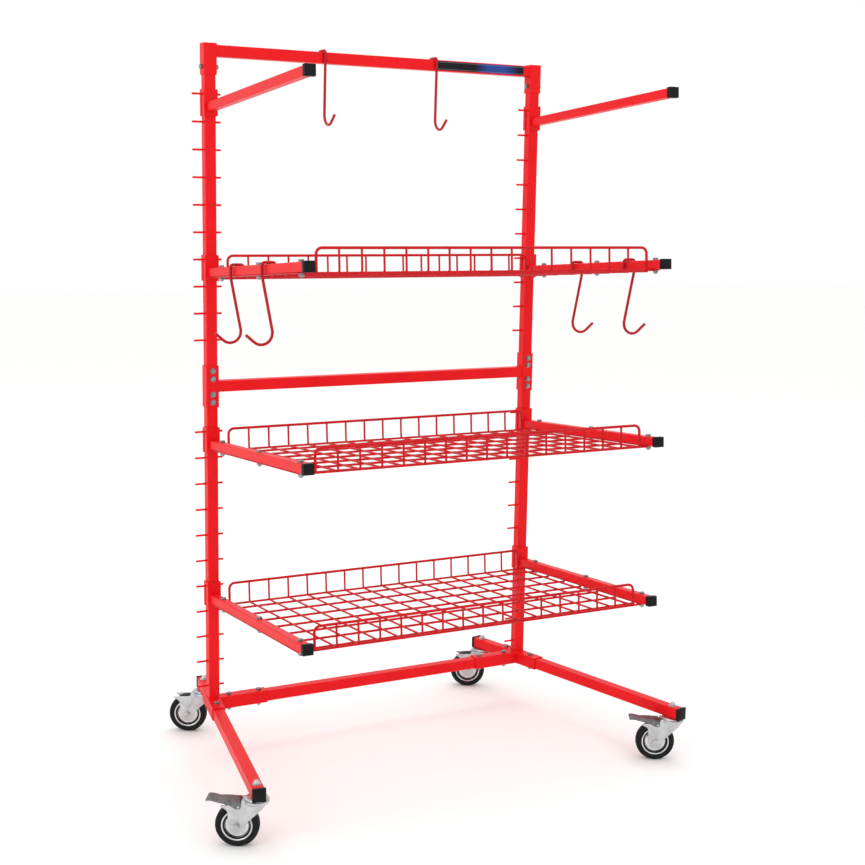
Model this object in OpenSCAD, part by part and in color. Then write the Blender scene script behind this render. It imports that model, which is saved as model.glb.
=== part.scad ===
// Three-shelf rolling parts cart: a bolted square-tube frame on four swivel
// casters, with lift-off wire shelves, two bare top arms and loose S-hooks.
// X runs from the left upright to the right one, Y to the back, Z up.

/* [Frame] */
// Distance between the centre lines of the two uprights
span = 1053; // [900:1:1150]
// Outside width of the square frame tube
tube = 32; // [30:1:34]
// Wall of the frame tube
tube_wall = 2; // [1.6:0.1:3]
// Outside width of the sleeves that join the tubes
sleeve = 38; // [37:1:42]
// Height of the base tubes' centre line above the floor
base_height = 148; // [146:1:160]
// Rise from the base centre line to the middle crossbar
middle_rise = 949; // [940:1:960]
// Rise from the base centre line to the top crossbar
top_rise = 1885; // [1875:1:1900]
// Length of each sleeve on the middle crossbar
middle_sleeve_len = 120; // [110:1:130]
// Length of each sleeve on the top crossbar
top_sleeve_len = 85; // [80:1:90]

/* [Base] */
// Outward angle of the left side rail
splay_left = 9.5; // [6:0.5:14]
// Outward angle of the right side rail
splay_right = 13.3; // [6:0.5:14]
// Distance from an upright to the front end of its side rail
rail_front = 694; // [600:1:740]
// Distance from an upright to the rear end of its side rail
rail_rear = 198; // [190:1:240]
// Distance from an upright to the front caster's king bolt
stem_front = 661; // [560:1:665]
// Distance from an upright to the rear caster's king bolt
stem_rear = 167; // [150:1:170]
// Length of the sockets that take the base crossbar
socket_len = 166; // [150:1:180]

/* [Height pegs] */
// Distance from one height peg to the next
peg_pitch = 76.2; // [70:0.1:80]
// Diameter of a height peg
peg_d = 6; // [5:0.5:8]
// Rise from the base centre line to the highest peg
top_peg_rise = 1767.5; // [1760:0.5:1775]
// Rise from the base centre line to the highest peg of the lower uprights
lower_peg_rise = 817.5; // [810:0.5:825]
// Reach of the pegs on the side towards -X, from the upright's centre
peg_out = 48; // [40:1:55]

/* [Shelves] */
// Reach of an arm from the upright's centre to its end
arm_reach = 726; // [700:1:740]
// Outside width of an arm's square tube
arm_w = 25; // [24:1:28]
// Upward tilt of the arms towards their free ends
arm_tilt = 4.2; // [0:0.1:5]
// Height of a shelf peg above its arm's centre line
arm_drop = 37.2; // [36:0.1:40]
// Distance between the cross wires of a shelf
wire_pitch = 61.3; // [58:0.1:62]
// Distance from the uprights to the back lip of a shelf
lip_back = 50; // [40:1:60]
// Distance from the uprights to the front lip of a shelf
lip_front = 683; // [640:1:690]
// Height of the lip rails above the arm's centre line
lip_rise = 46; // [40:1:60]

/* [Casters] */
// Diameter of the wheels
wheel_d = 114; // [110:1:116]
// Width of the tyre tread
wheel_w = 30; // [26:1:32]
// Distance from the king bolt back to the axle
trail = 49; // [44:1:52]
// Direction in which the casters trail, from +X
caster_turn = 150; // [0:1:359]

/* [Hooks] */
// Diameter of the hook wire
hook_wire = 8; // [6:0.5:8]
// Radius of the large lower bend
hook_bend = 30; // [25:1:32]
// Depth from the tube's top face to the centre of the lower bend
hook_drop = 176; // [160:1:190]

/* [Hidden] */
// The cart's plan centre lies here, so that it is stood on the origin.
centre_x = -22.8;
centre_y = -250.44;
clearance = 0.3;
bore_gap = 0.06;
corner_r = 3;
sleeve_in = tube + 2 * clearance;
socket_w = sleeve - 0.6;
socket_in = sleeve_in + 0.2;
upright_x = span / 2;
base_z = base_height;
middle_z = base_z + middle_rise;
top_z = base_z + top_rise;
top_sleeve_z = top_z + 20;
end_bar_t = 3;
end_bar_w = 24;
deck_z = -arm_w / 2 - 2.7;
collar_gap = 1;
collar_plate = 3;
collar_w = tube + 2 * (collar_gap + collar_plate);
collar_low = -23;
collar_high = 50;
upper_pegs = 10;
lower_pegs = 11;
shelf_bolts = [100, 390, 676];
rail_bolts = [-62, 48];
crossbar_bolts = [50, 144];
sleeve_bolts = [-45, -22.5, 22.5, 45];
top_bolt_drop = 64;
peg_in_left = 34;
peg_in_right = 22;
cross_wires = 7;
cross_wire_first = 101;
cross_wire_pitch = 91.5;
side_wires = 8;
rail_cap_depth = 9;
arm_cap_depth = 16;
label_x = 183;
label_w = 300;
label_h = 26;
label_t = 1.2;
top_hooks = [-184, 177];
left_hooks = [225, 460];
right_hooks = [287, 552];
hook_gap = 0.5;
hook_shoulder = 8;
hook_sweep = 130;
hook_tip = 30;
arm_hook_foot = -10;
top_hook_foot = 18;
bolt_r = 4;
bolt_hole_r = 4.3;
king_r = 6;
cap_wall = 1.7;
mount_drop = base_height - tube / 2;
wheel_r = wheel_d / 2;
fork_in = wheel_w / 2 + 2;
fork_plate = 3;
plate_t = 5;
fork_top = -5.3;
fork_cover = 10;
axle_r = 5;
plate_r = 32;
king_foot_t = 5;
king_foot_r = 11;
king_foot = fork_top - fork_cover - clearance - king_foot_t;
lever_x = 44;
lever_z = -21;
fork_boss_r = 22;
swivel_r = 34;
lever_pin_r = 3;
lever_t = 3;
lever_y = fork_in + fork_plate + 0.4;
axle_z = wheel_r - mount_drop;
SIDES = [["left", -1], ["right", 1]];

// Rises of the arms' centre lines at the uprights, from the base.
function upper_rise(step) = top_peg_rise - step * peg_pitch - arm_drop;
function lower_rise(step) = lower_peg_rise - step * peg_pitch - arm_drop;
top_arm_z = base_z + upper_rise(0);
shelf_upper_z = base_z + upper_rise(6);
shelf_middle_z = base_z + lower_rise(0);
shelf_lower_z = base_z + lower_rise(6);
function splay(side) = side < 0 ? -splay_left : splay_right;

// ---- shared shapes ----

// Stands the whole cart centred on the origin.
module stand() {
    translate([-centre_x, -centre_y, 0]) children();
}

// Square with round corners, centred.
module rounded_square(size, radius) {
    square([size - 2 * radius, size], center = true);
    square([size, size - 2 * radius], center = true);
    for (x = [-1, 1], y = [-1, 1])
        translate([x, y] * (size / 2 - radius)) circle(r = radius, $fn = 24);
}

// Square tube standing on the XY plane.
module square_tube(size, inside, length) {
    linear_extrude(length) difference() {
        rounded_square(size, corner_r);
        square(inside, center = true);
    }
}

module tube_along_x(size, inside, x0, x1) {
    translate([x0, 0, 0]) rotate([0, 90, 0]) square_tube(size, inside, x1 - x0);
}

module tube_along_y(size, inside, y0, y1) {
    translate([0, y1, 0]) rotate([90, 0, 0]) square_tube(size, inside, y1 - y0);
}

// Slip-over end cap whose closed face is at y0, opening towards +Y.
module slip_cap(size, depth) {
    difference() {
        translate([0, depth - 3, 0]) rotate([90, 0, 0])
            linear_extrude(depth) rounded_square(size + 2 * cap_wall, corner_r + 1);
        translate([0, depth / 2, 0]) cube([size + 0.2, depth, size + 0.2], center = true);
    }
}

// Hex bolt along Z with its nut; grip is the distance between the bearing faces.
module bolt_and_nut(grip) {
    translate([0, 0, grip / 2]) cylinder(h = 5.3, r = 7.5, $fn = 6);
    translate([0, 0, -grip / 2 - 10]) cylinder(h = grip + 11, r = bolt_r, $fn = 24);
    translate([0, 0, -grip / 2 - 7]) difference() {
        cylinder(h = 7, r = 7.5, $fn = 6);
        translate([0, 0, -1]) cylinder(h = 9, r = bolt_r + bore_gap, $fn = 24);
    }
}

module bolt_hole(length) {
    cylinder(h = length, r = bolt_hole_r, center = true, $fn = 24);
}

// Places children at every frame bolt, their Z along the bolt's axis.
module at_sleeve_bolts(side) {
    for (z = sleeve_bolts)
        translate([side * upright_x, 0, middle_z + z]) rotate([90, 0, 0]) children();
}

module at_top_bolt(side) {
    translate([side * upright_x, 0, top_sleeve_z - top_bolt_drop]) rotate([0, -90, 0]) children();
}

module at_crossbar_bolts(side) {
    for (x = crossbar_bolts) translate([side * (upright_x - x), 0, base_z]) children();
}

module at_rail_bolts(side) {
    on_rail(side) for (y = rail_bolts) translate([0, y, 0]) children();
}

// Local frame of a side rail: -Y runs to its front end.
module on_rail(side) {
    translate([side * upright_x, 0, base_z]) rotate([0, 0, splay(side)]) children();
}

module at_stems(side) {
    on_rail(side) for (y = [-stem_front, stem_rear]) translate([0, y, 0]) children();
}

// ---- frame ----

module lower_upright(side) {
    color("crimson") stand() difference() {
        translate([side * upright_x, 0, base_z + sleeve / 2])
            square_tube(tube, tube - 2 * tube_wall, middle_rise - sleeve / 2 - 0.5);
        at_sleeve_bolts(side) bolt_hole(60);
        for (i = [0 : lower_pegs - 1])
            translate([side * upright_x, 0, base_z + lower_peg_rise - i * peg_pitch])
                rotate([0, 90, 0]) cylinder(h = 60, r = peg_d / 2 + bore_gap, center = true, $fn = 24);
    }
}

module upper_upright(side) {
    color("crimson") stand() difference() {
        translate([side * upright_x, 0, middle_z + 0.5])
            square_tube(tube, tube - 2 * tube_wall, top_sleeve_z - middle_z - 4);
        at_sleeve_bolts(side) bolt_hole(60);
        at_top_bolt(side) bolt_hole(60);
        for (i = [0 : upper_pegs - 1])
            translate([side * upright_x, 0, base_z + top_peg_rise - i * peg_pitch])
                rotate([0, 90, 0]) cylinder(h = 60, r = peg_d / 2 + bore_gap, center = true, $fn = 24);
    }
}

// Pegs welded through the uprights, long towards -X.
module peg(side) {
    reach_in = side < 0 ? peg_in_left : peg_in_right;
    translate([side * upright_x - peg_out, 0, 0]) rotate([0, 90, 0])
        cylinder(h = peg_out + reach_in, r = peg_d / 2, $fn = 24);
}

module height_pegs() {
    color("crimson") stand() for (s = SIDES) {
        for (i = [0 : upper_pegs - 1])
            translate([0, 0, base_z + top_peg_rise - i * peg_pitch]) peg(s[1]);
        for (i = [0 : lower_pegs - 1])
            translate([0, 0, base_z + lower_peg_rise - i * peg_pitch]) peg(s[1]);
    }
}

// Sleeve over the side rail with a socket for the base crossbar.
module base_junction(side) {
    color("red") stand() difference() {
        union() {
            on_rail(side) tube_along_y(sleeve, tube, -100, 75);
            translate([side * (upright_x - socket_len), 0, base_z]) rotate([0, side * 90, 0])
                square_tube(socket_w, tube, socket_len - tube / 2);
        }
        on_rail(side) cube([sleeve_in, 400, sleeve_in], center = true);
        translate([side * (upright_x - tube), 0, base_z]) rotate([0, -side * 90, 0])
            translate([0, 0, -16]) linear_extrude(400) square(socket_in, center = true);
        at_crossbar_bolts(side) bolt_hole(60);
        at_rail_bolts(side) bolt_hole(60);
    }
}

module side_rail(side) {
    color("crimson") stand() difference() {
        on_rail(side) tube_along_y(tube, tube - 2 * tube_wall, -rail_front, rail_rear);
        at_rail_bolts(side) bolt_hole(60);
        at_stems(side) cylinder(h = 60, r = king_r + 0.2, center = true, $fn = 32);
    }
}

module base_crossbar() {
    bar_end = upright_x - 28;
    color("crimson") stand() difference() {
        translate([0, 0, base_z]) tube_along_x(tube, tube - 2 * tube_wall, -bar_end, bar_end);
        for (s = SIDES) at_crossbar_bolts(s[1]) bolt_hole(60);
    }
}

// Crossbar between two upright sleeves; the bar butts against them.
module sleeved_bar(z, sleeve_top, sleeve_len) {
    bar_end = upright_x - sleeve / 2 + 0.5;
    translate([0, 0, z]) tube_along_x(tube, tube - 2 * tube_wall, -bar_end, bar_end);
    for (s = SIDES) translate([s[1] * upright_x, 0, sleeve_top - sleeve_len])
        square_tube(sleeve, sleeve_in, sleeve_len);
}

module middle_crossbar() {
    color("crimson") stand() difference() {
        sleeved_bar(middle_z, middle_z + middle_sleeve_len / 2, middle_sleeve_len);
        for (s = SIDES) at_sleeve_bolts(s[1]) bolt_hole(60);
    }
}

module top_crossbar() {
    color("crimson") stand() difference() {
        sleeved_bar(top_z, top_sleeve_z, top_sleeve_len);
        for (s = SIDES) at_top_bolt(s[1]) bolt_hole(60);
    }
}

// Slip-over caps, notched round the bearing plates below them.
module rail_end_caps() {
    color("black") stand() for (s = SIDES) difference() {
        on_rail(s[1]) {
            translate([0, -rail_front, 0]) slip_cap(tube, rail_cap_depth);
            translate([0, rail_rear, 0]) rotate([0, 0, 180]) slip_cap(tube, rail_cap_depth);
        }
        at_stems(s[1]) translate([0, 0, -tube / 2 - 20])
            cylinder(h = 20, r = plate_r + 0.5, $fn = 64);
    }
}

module frame_bolts() {
    color("silver") stand() for (s = SIDES) {
        at_sleeve_bolts(s[1]) bolt_and_nut(sleeve);
        at_top_bolt(s[1]) bolt_and_nut(sleeve);
        at_crossbar_bolts(s[1]) bolt_and_nut(socket_w);
        at_rail_bolts(s[1]) bolt_and_nut(sleeve);
    }
}

// Plain name plate riveted to the front of the top crossbar.
module label_plate() {
    color("dimgray") stand()
        translate([label_x, -tube / 2 - label_t, top_z - label_h / 2]) cube([label_w, label_t, label_h]);
}

// ---- casters ----

// King bolt with a domed head above the rail and its foot inside the fork.
module caster_king_bolts() {
    color("silver") stand() for (s = SIDES) at_stems(s[1]) {
        translate([0, 0, tube / 2]) cylinder(h = 3, r = 12, $fn = 48);
        translate([0, 0, tube / 2 + 3]) cylinder(h = 9, r = 9.5, $fn = 6);
        translate([0, 0, -tube / 2 + king_foot]) {
            cylinder(h = tube - king_foot + 4, r = king_r, $fn = 48);
            cylinder(h = king_foot_t, r = king_foot_r, $fn = 48);
        }
    }
}

module caster_bearing_plates() {
    color("silver") stand() for (s = SIDES) at_stems(s[1]) translate([0, 0, -tube / 2 - plate_t])
        difference() {
            cylinder(h = plate_t, r = plate_r, $fn = 64);
            translate([0, 0, -1]) cylinder(h = 9, r = king_r + 0.2, $fn = 48);
        }
}

// Local frame of a caster: origin where its plate meets the rail, +X trailing.
module at_caster(side, y) {
    p = [side * upright_x, 0] + y * [-sin(splay(side)), cos(splay(side))];
    translate([p[0], p[1], mount_drop]) rotate([0, 0, caster_turn]) children();
}

// One cheek of the fork, from the swivel down to the axle boss.
module fork_cheek() {
    rotate([90, 0, 0]) linear_extrude(fork_plate, center = true) difference() {
        union() {
            polygon([[-24, fork_top], [36, fork_top], [38, -17], [88, -19], [90, -23], [78, -29],
                [trail + 22, -40], [trail + 21.5, axle_z], [trail - 21.5, axle_z], [-15, -29],
                [-24, -14]]);
            translate([trail, axle_z]) circle(r = fork_boss_r, $fn = 48);
        }
        translate([trail, axle_z]) circle(r = axle_r + 0.1, $fn = 48);
    }
}

// A braked fork carries two studs for the brake lever.
module fork(side, y, braked) {
    color("lightgray") stand() at_caster(side, y) difference() {
        union() {
            for (s = [-1, 1]) translate([0, s * (fork_in + fork_plate / 2), 0]) fork_cheek();
            translate([-20, -fork_in - 1, fork_top - fork_plate])
                cube([56, 2 * fork_in + 2, fork_plate]);
            translate([0, 0, fork_top - fork_cover]) cylinder(h = fork_cover, r = swivel_r, $fn = 64);
            if (braked) for (s = [-1, 1]) translate([lever_x, s * (fork_in + fork_plate + 2), lever_z])
                rotate([90, 0, 0]) cylinder(h = 4.4, r = lever_pin_r, center = true, $fn = 32);
        }
        translate([0, 0, -40]) cylinder(h = 60, r = king_r + bore_gap, $fn = 48);
    }
}

module wheel_profile(points) {
    translate([trail, 0, axle_z]) rotate([90, 0, 0]) rotate_extrude($fn = 96) polygon(points);
}

// Rubber tyre, crowned, with its bead round the rim.
module tyre(side, y) {
    h = wheel_w / 2;
    color([0.1, 0.1, 0.1]) stand() at_caster(side, y)
        wheel_profile([[41, -h + 1], [wheel_r - 7, -h], [wheel_r - 2, -h + 4], [wheel_r, -h + 9],
            [wheel_r, h - 9], [wheel_r - 2, h - 4], [wheel_r - 7, h], [41, h - 1]]);
}

// Pressed steel rim with a dished web and a hub that turns on the axle.
module rim(side, y) {
    h = wheel_w / 2;
    bore = axle_r + bore_gap;
    color("lightgray") stand() at_caster(side, y)
        wheel_profile([[bore, -h - 1], [13, -h - 1], [14, -h + 4], [29, -5], [36, -h + 2], [41, -h + 2],
            [41, h - 2], [36, h - 2], [29, 5], [14, h - 4], [13, h + 1], [bore, h + 1]]);
}

module axle(side, y) {
    reach = fork_in + fork_plate;
    color("silver") stand() at_caster(side, y) translate([trail, 0, axle_z]) rotate([90, 0, 0]) {
        translate([0, 0, -reach - 9]) cylinder(h = 2 * reach + 18, r = axle_r, $fn = 48);
        translate([0, 0, reach]) cylinder(h = 7, r = 9.2, $fn = 6);
        translate([0, 0, -reach - 7]) cylinder(h = 7, r = 9.2, $fn = 6);
    }
}

// Brake pedal: a plate above the wheel with ears outside the fork cheeks and a curved tip.
module brake_lever(side) {
    color("gray") stand() at_caster(side, -stem_front) rotate([90, 0, 0]) {
        for (s = [-1, 1]) translate([0, 0, s * (lever_y + lever_t / 2)])
            linear_extrude(lever_t, center = true) difference() {
                polygon([[39.5, -8], [93, -8], [93, -11.5], [70, -16], [52, -27], [40, -27],
                    [37, -20], [38.5, -12]]);
                translate([lever_x, lever_z]) circle(r = lever_pin_r + bore_gap, $fn = 32);
            }
        linear_extrude(2 * (lever_y + lever_t), center = true)
            polygon([[39.5, -8], [93, -8], [104, -5.5], [116, -3.2], [127, -4.2], [128, -7.5],
                [116, -6.4], [104, -8.7], [94, -11.5], [39.5, -11]]);
    }
}

// ---- shelves and arms ----

// Local frame of an arm set: -Y runs out along the tilted arms.
module on_arms(z) {
    translate([0, 0, z]) rotate([-arm_tilt, 0, 0]) children();
}

// Channel that drops over one height peg.
module collar() {
    half = collar_w / 2;
    difference() {
        translate([-half, -half, collar_low]) cube([collar_w, half + tube / 2, collar_high - collar_low]);
        translate([-half + collar_plate, -half + collar_plate, collar_low - 1])
            cube([collar_w - 2 * collar_plate, 60, 100]);
        translate([0, 0, arm_drop - 40]) cube([60, peg_d + 1, 80], center = true);
        translate([0, 0, arm_drop]) rotate([0, 90, 0])
            cylinder(h = 60, r = peg_d / 2 + 0.5, center = true, $fn = 32);
    }
}

module arm(side, z, bolted) {
    color("crimson") stand() {
        translate([side * upright_x, 0, z]) collar();
        difference() {
            translate([side * upright_x, 0, 0]) on_arms(z)
                tube_along_y(arm_w, arm_w - 4, -arm_reach, -collar_w / 2 + 2);
            translate([side * upright_x, -20 + 3, z]) cube([60, 6, 80], center = true);
            if (bolted) translate([side * upright_x, 0, 0]) on_arms(z)
                for (y = shelf_bolts) translate([0, -y, 0]) bolt_hole(40);
        }
    }
}

module arm_cap(side, z) {
    translate([side * upright_x, 0, 0]) on_arms(z)
        translate([0, -arm_reach, 0]) slip_cap(arm_w, arm_cap_depth);
}

module top_arm_cap(side) {
    color("black") stand() arm_cap(side, top_arm_z);
}

module shelf_caps(z) {
    color("black") stand() for (s = SIDES) arm_cap(s[1], z);
}

// Bolts that clamp the deck's end bars under the arms.
module shelf_bolts_set(z) {
    color("silver") stand() on_arms(z) for (s = SIDES, y = shelf_bolts)
        translate([s[1] * upright_x, -y, -end_bar_t / 2]) bolt_and_nut(arm_w + end_bar_t);
}

module wire_y(x, z, y0, y1, d) {
    translate([x, y1, z]) rotate([90, 0, 0]) cylinder(h = y1 - y0, r = d / 2, $fn = 8);
}

module wire_x(y, z, x0, x1, d) {
    translate([x0, y, z]) rotate([0, 90, 0]) cylinder(h = x1 - x0, r = d / 2, $fn = 8);
}

// Flat bar with bolt holes at one end of a deck.
module end_bar(side) {
    difference() {
        translate([side * upright_x - end_bar_w / 2, -lip_front, -arm_w / 2 - end_bar_t])
            cube([end_bar_w, lip_front - lip_back, end_bar_t]);
        for (y = shelf_bolts) translate([side * upright_x, -y, 0]) bolt_hole(60);
    }
}

// Welded wire deck, resting under the arms, with an upright lip front and back.
module shelf_deck(z) {
    end_x = upright_x - 9;
    lip_x = side_wires * wire_pitch;
    lip_foot = deck_z + 2.52;
    color("crimson") stand() on_arms(z) {
        for (i = [-side_wires : side_wires]) wire_y(i * wire_pitch, deck_z, -lip_front, -lip_back, 5);
        for (s = [-1, 1]) end_bar(s);
        for (i = [0 : cross_wires - 1])
            wire_x(-cross_wire_first - i * cross_wire_pitch, deck_z - 3, -end_x, end_x, 6);
        for (y = [-lip_back, -lip_front]) {
            for (i = [-side_wires : side_wires]) translate([i * wire_pitch, y, lip_foot])
                cylinder(h = lip_rise - lip_foot, r = 2.5, $fn = 8);
            wire_x(y, lip_rise, -lip_x - 3.5, lip_x + 3.5, 7);
        }
    }
}

// ---- S-hooks ----

// Bent wire in the XZ plane over a tube of the given width; +X is the open side.
// The long leg ends at x = foot, where the lower bend and its flared tip begin.
module s_hook(width, foot) {
    r = hook_wire / 2;
    half = width / 2 + r + 2;
    rise = r + hook_gap;
    bend = hook_shoulder;
    lean = half - foot;
    leg_top = -width - 2;
    leg_len = sqrt(pow(hook_drop + leg_top, 2) + pow(lean, 2));
    module straight(length) cylinder(h = length, r = r, $fn = 20);
    module joint() sphere(r = r, $fn = 20);
    translate([-half, 0, leg_top + 4]) straight(rise - bend - leg_top - 4);
    translate([half, 0, leg_top]) straight(rise - bend - leg_top);
    translate([-half + bend, 0, rise]) rotate([0, 90, 0]) straight(2 * (half - bend));
    for (s = [-1, 1]) translate([s * (half - bend), 0, rise - bend]) rotate([90, 0, 0])
        rotate([0, 0, s > 0 ? 0 : 90]) rotate_extrude(angle = 90, $fn = 48)
            translate([bend, 0]) circle(r = r, $fn = 20);
    translate([half, 0, leg_top]) joint();
    translate([half, 0, leg_top]) rotate([0, 180 + atan2(lean, hook_drop + leg_top), 0]) straight(leg_len);
    translate([foot, 0, -hook_drop]) joint();
    translate([foot + hook_bend, 0, -hook_drop]) {
        rotate([90, 0, 0]) rotate([0, 0, 180])
            rotate_extrude(angle = hook_sweep, $fn = 72) translate([hook_bend, 0]) circle(r = r, $fn = 20);
        rotate([0, 180 - hook_sweep, 0]) translate([hook_bend, 0, 0]) straight(hook_tip);
    }
}

module hook_on_top(x) {
    color("firebrick") stand() translate([x, 0, top_z + tube / 2]) rotate([0, 0, -90])
        s_hook(tube, top_hook_foot);
}

module hook_on_arm(side, y) {
    color("firebrick") stand() translate([side * upright_x, 0, 0]) on_arms(shelf_upper_z)
        translate([0, -y, arm_w / 2]) rotate([arm_tilt, 0, 0])
            rotate([0, 0, side < 0 ? 180 : 0]) s_hook(arm_w, arm_hook_foot);
}

lower_upright(-1);  // lower_upright_left
lower_upright(1);  // lower_upright_right
upper_upright(-1);  // upper_upright_left
upper_upright(1);  // upper_upright_right
height_pegs();
base_junction(-1);  // base_junction_left
base_junction(1);  // base_junction_right
side_rail(-1);  // side_rail_left
side_rail(1);  // side_rail_right
base_crossbar();
middle_crossbar();
top_crossbar();
rail_end_caps();
frame_bolts();
label_plate();
caster_king_bolts();
caster_bearing_plates();
shelf_deck(shelf_upper_z);  // shelf_upper_deck
arm(-1, shelf_upper_z, true);  // shelf_upper_arm_left
arm(1, shelf_upper_z, true);  // shelf_upper_arm_right
shelf_caps(shelf_upper_z);  // shelf_upper_caps
shelf_bolts_set(shelf_upper_z);  // shelf_upper_bolts
shelf_deck(shelf_middle_z);  // shelf_middle_deck
arm(-1, shelf_middle_z, true);  // shelf_middle_arm_left
arm(1, shelf_middle_z, true);  // shelf_middle_arm_right
shelf_caps(shelf_middle_z);  // shelf_middle_caps
shelf_bolts_set(shelf_middle_z);  // shelf_middle_bolts
shelf_deck(shelf_lower_z);  // shelf_lower_deck
arm(-1, shelf_lower_z, true);  // shelf_lower_arm_left
arm(1, shelf_lower_z, true);  // shelf_lower_arm_right
shelf_caps(shelf_lower_z);  // shelf_lower_caps
shelf_bolts_set(shelf_lower_z);  // shelf_lower_bolts
arm(-1, top_arm_z, false);  // top_arm_left
arm(1, top_arm_z, false);  // top_arm_right
top_arm_cap(-1);  // top_arm_left_cap
top_arm_cap(1);  // top_arm_right_cap
hook_on_top(top_hooks[0]);  // hook_top_left
hook_on_top(top_hooks[1]);  // hook_top_right
hook_on_arm(-1, left_hooks[0]);  // hook_left_rear
hook_on_arm(-1, left_hooks[1]);  // hook_left_front
hook_on_arm(1, right_hooks[0]);  // hook_right_rear
hook_on_arm(1, right_hooks[1]);  // hook_right_front
fork(-1, -stem_front, true);  // caster_front_left_fork
tyre(-1, -stem_front);  // caster_front_left_tyre
rim(-1, -stem_front);  // caster_front_left_rim
axle(-1, -stem_front);  // caster_front_left_axle
brake_lever(-1);  // brake_lever_left
fork(1, -stem_front, true);  // caster_front_right_fork
tyre(1, -stem_front);  // caster_front_right_tyre
rim(1, -stem_front);  // caster_front_right_rim
axle(1, -stem_front);  // caster_front_right_axle
brake_lever(1);  // brake_lever_right
fork(-1, stem_rear, false);  // caster_rear_left_fork
tyre(-1, stem_rear);  // caster_rear_left_tyre
rim(-1, stem_rear);  // caster_rear_left_rim
axle(-1, stem_rear);  // caster_rear_left_axle
fork(1, stem_rear, false);  // caster_rear_right_fork
tyre(1, stem_rear);  // caster_rear_right_tyre
rim(1, stem_rear);  // caster_rear_right_rim
axle(1, stem_rear);  // caster_rear_right_axle
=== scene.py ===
# Rolling parts cart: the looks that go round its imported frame.
# Metres, +X from the left upright to the right one, +Y to the back, +Z up.
import math
import bpy
from mathutils import Matrix, Vector


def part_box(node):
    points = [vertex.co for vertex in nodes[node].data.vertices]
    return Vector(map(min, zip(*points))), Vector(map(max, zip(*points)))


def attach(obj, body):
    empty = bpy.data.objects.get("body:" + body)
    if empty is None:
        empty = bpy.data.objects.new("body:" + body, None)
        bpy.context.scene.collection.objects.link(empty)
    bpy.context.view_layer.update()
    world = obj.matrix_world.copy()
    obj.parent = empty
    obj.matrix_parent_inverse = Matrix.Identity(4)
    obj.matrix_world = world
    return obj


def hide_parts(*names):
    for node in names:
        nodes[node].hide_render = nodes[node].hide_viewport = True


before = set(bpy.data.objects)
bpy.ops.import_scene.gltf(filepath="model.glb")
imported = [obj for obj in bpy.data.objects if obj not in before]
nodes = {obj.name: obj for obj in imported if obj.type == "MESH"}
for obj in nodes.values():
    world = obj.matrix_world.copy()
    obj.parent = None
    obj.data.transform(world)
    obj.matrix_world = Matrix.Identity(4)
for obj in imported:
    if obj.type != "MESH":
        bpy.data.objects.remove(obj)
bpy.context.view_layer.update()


def middleOf(node):
    low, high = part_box(node)
    return (Vector(low) + Vector(high)) / 2


# where the frame stands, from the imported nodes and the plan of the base
cart = {
    "uprightX": {-1: middleOf("lower_upright_left").x, 1: middleOf("lower_upright_right").x},
    "uprightY": middleOf("lower_upright_left").y,
    "tube": 0.032,
    "sleeve": 0.038,
    "baseHeight": 0.148,
    "middleHeight": 1.097,
    "topHeight": 2.033,
    "splay": {-1: -9.5, 1: 13.3},  # degrees, outward
    "armTilt": 4.2,
    "arm": 0.025,
    "armReach": 0.726,
    "armHeights": {"upper": 1.4211, "middle": 0.9283, "lower": 0.4711, "top": 1.8783},
}
sides = {"left": -1, "right": 1}
centreX = (cart["uprightX"][-1] + cart["uprightX"][1]) / 2


def railFrame(side):  # -Y runs to the front end of a side rail
    spot = Matrix.Translation((cart["uprightX"][side], cart["uprightY"], cart["baseHeight"]))
    return spot @ Matrix.Rotation(math.radians(cart["splay"][side]), 4, "Z")


def armFrame(height, side=0):  # -Y runs out along the tilted arms
    x = cart["uprightX"][side] if side else centreX
    spot = Matrix.Translation((x, cart["uprightY"], height))
    return spot @ Matrix.Rotation(math.radians(-cart["armTilt"]), 4, "X")


# finishes, each started from what the real one is

def linear(hexText):
    parts = [int(hexText[i:i + 2], 16) / 255 for i in (0, 2, 4)]
    return tuple(c / 12.92 if c <= 0.04045 else ((c + 0.055) / 1.055) ** 2.4 for c in parts) + (1,)


def addNode(tree, kind, settings, links):
    node = tree.nodes.new(kind)
    for name, value in settings.items():
        if isinstance(name, int) or name in node.inputs:  # a number stands for an unnamed socket
            node.inputs[name].default_value = value
        else:
            setattr(node, name, value)
    for name, source in links.items():
        tree.links.new(source, node.inputs[name])
    return node


mottleRange = (0.3, 0.7)  # the part of a noise that carries a finish from its dark to its light
grainDepth = 0.0004


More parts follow.
